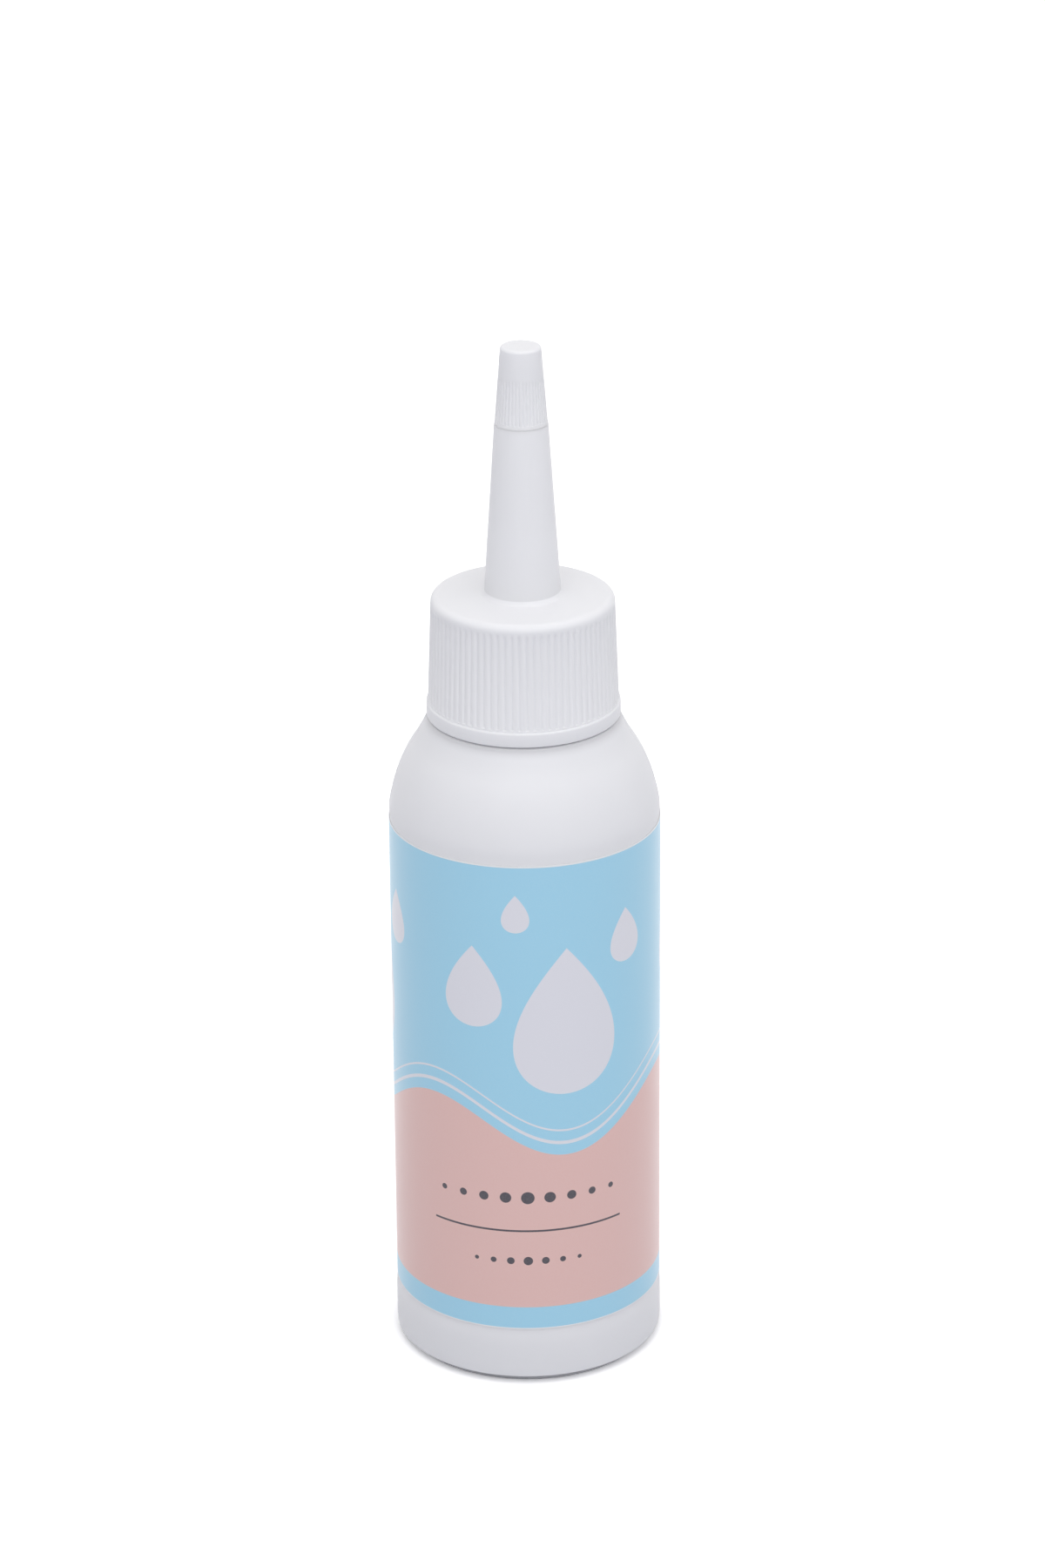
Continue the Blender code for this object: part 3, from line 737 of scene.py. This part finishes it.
cap_outline = [(ORIFICE_RADIUS, spigot_end)]
cap_outline += arc(spigot_end_radius - SEAT_ROUND, spigot_end - SEAT_ROUND, SEAT_ROUND, 90, 0, 3)
cap_outline += [
    (bead_foot + SPIGOT_BEAD * soften(1 - abs(share)), bead - 2 * SPIGOT_BEAD * share)
    for share in (-1, -0.6, -0.3, 0, 0.3, 0.6, 1)
]
cap_outline += [(spigot_radius, seat)]
cap_outline += arc(seat_radius - SEAT_ROUND, seat - SEAT_ROUND, SEAT_ROUND, 90, 0, 3)
cap_outline += arc(
    NOZZLE_ROOT_RADIUS + NOZZLE_FILLET, cap_top + NOZZLE_FILLET, NOZZLE_FILLET, 180, 270, 10
)
cap_outline += arc(top_radius - TOP_EDGE_RADIUS, side_top, TOP_EDGE_RADIUS, 90, 0, 9)
cap_outline += [(skirt_radius_at(height), height) for height in reversed(rib_rings)]
cap_outline += [(skirt_radius, flange_top)]
cap_outline += arc(
    flange_radius - FLANGE_ROUND, flange_top - FLANGE_ROUND, FLANGE_ROUND, FLANGE_ROUND_START, 0, 5
)
cap_outline += arc(flange_radius - FLANGE_EDGE, cap_low.z + FLANGE_EDGE, FLANGE_EDGE, 0, -90, 3)
cap_outline += [(bore_radius + SKIRT_CHAMFER, cap_low.z), (bore_radius, cap_low.z + SKIRT_CHAMFER)]
cap_outline += [(bore_radius, mix(*cap_thread_ends, share)) for share in cap_thread_rings]
cap_outline += [
    (bore_radius, ceiling),
    (NOZZLE_ROOT_RADIUS - NOZZLE_WALL, ceiling),
    (seat_radius - NOZZLE_WALL, seat - NOZZLE_WALL),
    (channel_radius, seat),
    (channel_radius, spigot_end - ORIFICE_LENGTH - ORIFICE_CONE),
    (ORIFICE_RADIUS, spigot_end - ORIFICE_LENGTH),
]

cap_bm = turn(cap_outline, RIB_COUNT, RIB_STEPS, closed=True)
rib_pitch = 2 * math.pi * skirt_radius / RIB_COUNT
for vert in cap_bm.verts:
    radius = math.hypot(vert.co.x, vert.co.y)
    on_skirt = radius > top_radius - MERGE_DISTANCE
    on_bore = abs(radius - bore_radius) < MERGE_DISTANCE
    if on_skirt and rib_low < vert.co.z < rib_high:
        angle = math.atan2(vert.co.y, vert.co.x)
        depth = RIB_DEPTH * groove_share(angle, RIB_COUNT, rib_pitch, RIB_CREST, RIB_FLANK)
        run_out = soften((rib_high - vert.co.z) / RIB_RUN_OUT)
        run_in = soften((vert.co.z - rib_low) / RIB_START)
        move_radially(vert, -depth * min(run_out, run_in))
    elif on_bore and cap_thread_ends[0] < vert.co.z < cap_thread_ends[1]:
        share = thread_share(
            vert.co, cap_thread_low, -CAP_THREAD_LEAD_TURNS, CAP_THREAD_TURNS, CAP_THREAD_WIDTHS
        )
        move_radially(vert, (NECK_RADIUS + THREAD_GAP - bore_radius) * share)

CAP_WHITE = (0.86, 0.865, 0.89, 1.0)
CAP_SHADE = (0.845, 0.85, 0.875, 1.0)
CAP_ROUGHNESS = 0.46
FLOW_STRETCH = 5.0  # of the mottle along the nozzle, the way that the plastic flowed
# Painted shade: a grey at the nozzle's foot, where it meets the cap's top, fading upwards.
NOZZLE_PAINTED_SHADE = (0.725, 0.73, 0.75, 1.0)
NOZZLE_PAINTED_SHADE_RISE = 0.75 * MM  # of the painted shade's start, over the cap's top
NOZZLE_PAINTED_SHADE_REACH = 10.0 * MM  # up from there
cap_plastic = moulded_plastic(
    "white_polypropylene",
    CAP_WHITE,
    CAP_SHADE,
    CAP_ROUGHNESS,
    FLOW_STRETCH,
    [(cap_top + NOZZLE_PAINTED_SHADE_RISE, NOZZLE_PAINTED_SHADE_REACH, NOZZLE_PAINTED_SHADE)],
)
nozzle_cap = new_piece("screw_nozzle_cap", cap_bm, cap_plastic)
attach(nozzle_cap, "nozzle_cap")
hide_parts("nozzle_cap")


# The tip cap is a small injection moulding in the same plastic, pushed on the nozzle's spigot. It has
# fine ribs to pull it by, a small lip at its foot, a dished top with the gate's mark, and a pin that
# plugs the orifice.
TIP_JOINT = 0.01 * MM  # the line between the pushed-on cap's foot and its seat
SEAT_LEDGE = 0.04 * MM  # by which the seat stands out past that foot
TIP_RIB_COUNT = 40
TIP_RIB_DEPTH = 0.12 * MM
TIP_RIB_CREST = 0.22 * MM
TIP_RIB_FLANK = 0.14 * MM
TIP_RIB_FOOT_RISE = 0.1 * MM
TIP_RIB_RUN_OUT = 0.9 * MM
TIP_RIB_SHARE = 0.65  # of the side, from its foot up to where the ribs end
TIP_TOP_RADIUS = 2.97 * MM
TIP_EDGE_RADIUS = 0.48 * MM
TIP_LIP_HEIGHT = 0.5 * MM
TIP_LIP_SLOPE = 0.3 * MM
TIP_DISH_DEPTH = 0.05 * MM
TIP_DISH_RADIUS = 2.2 * MM
TIP_DISH_EDGE = 0.8 * MM
GATE_RADIUS = 0.3 * MM
GATE_HEIGHT = 0.04 * MM
PIN_LENGTH = 2.0 * MM
PIN_TAPER = 0.5  # share of the pin's length that narrows to its end
PIN_END = 0.6  # radius of the pin's end over its own

tip_foot = seat + TIP_JOINT
tip_lip_top = tip_foot + TIP_LIP_HEIGHT
tip_lip_radius = seat_radius - SEAT_LEDGE
tip_side_top = tip_high.z - TIP_EDGE_RADIUS
cavity_slope = SPIGOT_TAPER / (spigot_end - seat)
cavity_end = spigot_end + SEAT_GAP
cavity_radius = spigot_radius + SEAT_GAP - cavity_slope * SEAT_GAP
cavity_end_radius = cavity_radius - cavity_slope * (cavity_end - tip_foot)
pin_radius = ORIFICE_RADIUS - SEAT_GAP
pin_end = spigot_end - PIN_LENGTH


def tip_radius_at(height):
    return mix(tip_side_radius, TIP_TOP_RADIUS, (height - tip_lip_top) / (tip_side_top - tip_lip_top))


tip_rib_low = tip_lip_top + TIP_RIB_FOOT_RISE
tip_rib_high = mix(tip_lip_top, tip_side_top, TIP_RIB_SHARE)
tip_rings = [tip_rib_low + TIP_RIB_FOOT_RISE * share for share in shares(2)]
tip_rings += [tip_rib_high - TIP_RIB_RUN_OUT * share for share in reversed(shares(6))]
dish = tip_high.z - TIP_DISH_DEPTH

tip_outline = [(0.0, dish + GATE_HEIGHT)]
tip_outline += soft_step((GATE_RADIUS / 2, dish + GATE_HEIGHT), (GATE_RADIUS, dish), 3, level_ends=True)
tip_outline += soft_step(
    (TIP_DISH_RADIUS - TIP_DISH_EDGE, dish), (TIP_DISH_RADIUS, tip_high.z), 4, level_ends=True
)
tip_outline += arc(TIP_TOP_RADIUS - TIP_EDGE_RADIUS, tip_side_top, TIP_EDGE_RADIUS, 90, 0, 7)
tip_outline += [(tip_radius_at(height), height) for height in reversed(tip_rings)]
tip_outline += soft_step(
    (tip_side_radius, tip_lip_top), (tip_lip_radius, tip_lip_top - TIP_LIP_SLOPE), 6
)
tip_outline += [(tip_lip_radius, tip_foot)]
tip_outline += [
    (cavity_radius + SEAT_ROUND, tip_foot),
    (cavity_radius, tip_foot + SEAT_ROUND),
    (cavity_end_radius, cavity_end),
    (pin_radius, cavity_end),
    (pin_radius, mix(pin_end, spigot_end, PIN_TAPER)),
    (pin_radius * PIN_END, pin_end),
    (0.0, pin_end),
]

tip_bm = turn(tip_outline, TIP_RIB_COUNT, RIB_STEPS)
tip_pitch = 2 * math.pi * tip_side_radius / TIP_RIB_COUNT
for vert in tip_bm.verts:
    radius = math.hypot(vert.co.x, vert.co.y)
    if tip_rib_low < vert.co.z < tip_rib_high and radius > TIP_TOP_RADIUS:
        angle = math.atan2(vert.co.y, vert.co.x)
        share = groove_share(angle, TIP_RIB_COUNT, tip_pitch, TIP_RIB_CREST, TIP_RIB_FLANK)
        run_out = soften((tip_rib_high - vert.co.z) / TIP_RIB_RUN_OUT)
        run_in = soften((vert.co.z - tip_rib_low) / TIP_RIB_FOOT_RISE)
        move_radially(vert, -TIP_RIB_DEPTH * share * run_out * run_in)

tip_cap = new_piece(
    "ribbed_tip_cap", tip_bm, moulded_plastic("white_tip_plastic", CAP_WHITE, CAP_SHADE, CAP_ROUGHNESS)
)
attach(tip_cap, "tip_cap")
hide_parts("tip_cap")


# The studio: a wide white floor in an evenly lit white room, with three broad soft panels overhead, in
# front and on the right. The floor sends only part of the light back up, which darkens the foot of the
# bottle; the dark edge there is also painted shade in the bottle's colour. Its sizes and places are in
# metres.
FLOOR_SIZE = 8.0
FLOOR_WHITE = (1.43, 1.435, 1.445, 1.0)  # of the floor that is seen: over 1, so only its shadows show
FLOOR_RETURN = (0.335, 0.347, 0.398, 1.0)  # of the light that the floor sends back up
ROOM_LIGHT = (0.76, 0.753, 0.758, 1.0)
WHITE = (1.0, 1.0, 1.0, 1.0)
PANEL_SIZE = 1.6
PANELS = (  # place and power in watts of each
    ("overhead_panel", (0.0, -0.5, 1.4), 3.2),
    ("front_panel", (0.0, -1.3, 0.75), 5.6),
    ("right_panel", (1.25, -0.35, 0.8), 1.7),
)


def seen_directly(recipe):
    """1 for rays from the camera and for those that a gloss or a clear thing sends on."""
    seen = recipe.node("ShaderNodeLightPath", output="Is Camera Ray")
    for output in ("Is Glossy Ray", "Is Transmission Ray"):
        seen = seen.math("MAXIMUM", seen, recipe.node("ShaderNodeLightPath", output=output))
    return seen


bpy.context.scene.world = bpy.data.worlds.new("white_room")
room = Recipe(bpy.context.scene.world)
room.feed(room.tree.nodes["Background"], {"Color": room.blend(seen_directly(room), ROOM_LIGHT, WHITE)})

floor_bm = bmesh.new()
bmesh.ops.create_grid(floor_bm, x_segments=1, y_segments=1, size=FLOOR_SIZE / 2)
ground = Recipe(bpy.data.materials.new("white_floor"))
dull = ground.node("ShaderNodeBsdfDiffuse", sockets={"Color": FLOOR_RETURN})
white = ground.node("ShaderNodeBsdfDiffuse", sockets={"Color": FLOOR_WHITE})
surface = ground.node("ShaderNodeMixShader", sockets={0: seen_directly(ground), 1: dull, 2: white})
ground.feed(ground.tree.nodes["Material Output"], {"Surface": surface})
new_piece("floor", floor_bm, ground.owner)

bottle_middle = Vector((0, 0, cad_high.z / 2))
for name, place, power in PANELS:
    light = bpy.data.lights.new(name, "AREA")
    light.size = PANEL_SIZE
    light.energy = power
    panel = bpy.data.objects.new(name, light)
    panel.location = place
    panel.rotation_euler = (panel.location - bottle_middle).to_track_quat("Z", "Y").to_euler()
    bpy.context.scene.collection.objects.link(panel)


# The camera stands at the photograph's own place, found from the outlines of the bottle and its cap: not
# quite 0.8 m from the bottle's middle, and looking down at 23 degrees.
CAMERA_PLACE = (0.0, -0.7070, 0.3894)
CAMERA_PITCH = math.radians(23.0)
CAMERA_YAW = math.radians(-0.021)
CAMERA_ROLL = math.radians(-0.5)
CAMERA_LENS = 120  # in mm, as the sensor's width
SENSOR_WIDTH = 36

camera = bpy.data.objects.new("camera", bpy.data.cameras.new("camera"))
camera.data.lens = CAMERA_LENS
camera.data.sensor_width = SENSOR_WIDTH
aim = Matrix.Rotation(-CAMERA_YAW, 4, "Z") @ Matrix.Rotation(math.pi / 2 - CAMERA_PITCH, 4, "X")
camera.matrix_world = Matrix.Translation(CAMERA_PLACE) @ aim @ Matrix.Rotation(CAMERA_ROLL, 4, "Z")
bpy.context.scene.collection.objects.link(camera)
bpy.context.scene.camera = camera
bpy.context.scene.view_settings.view_transform = "Standard"
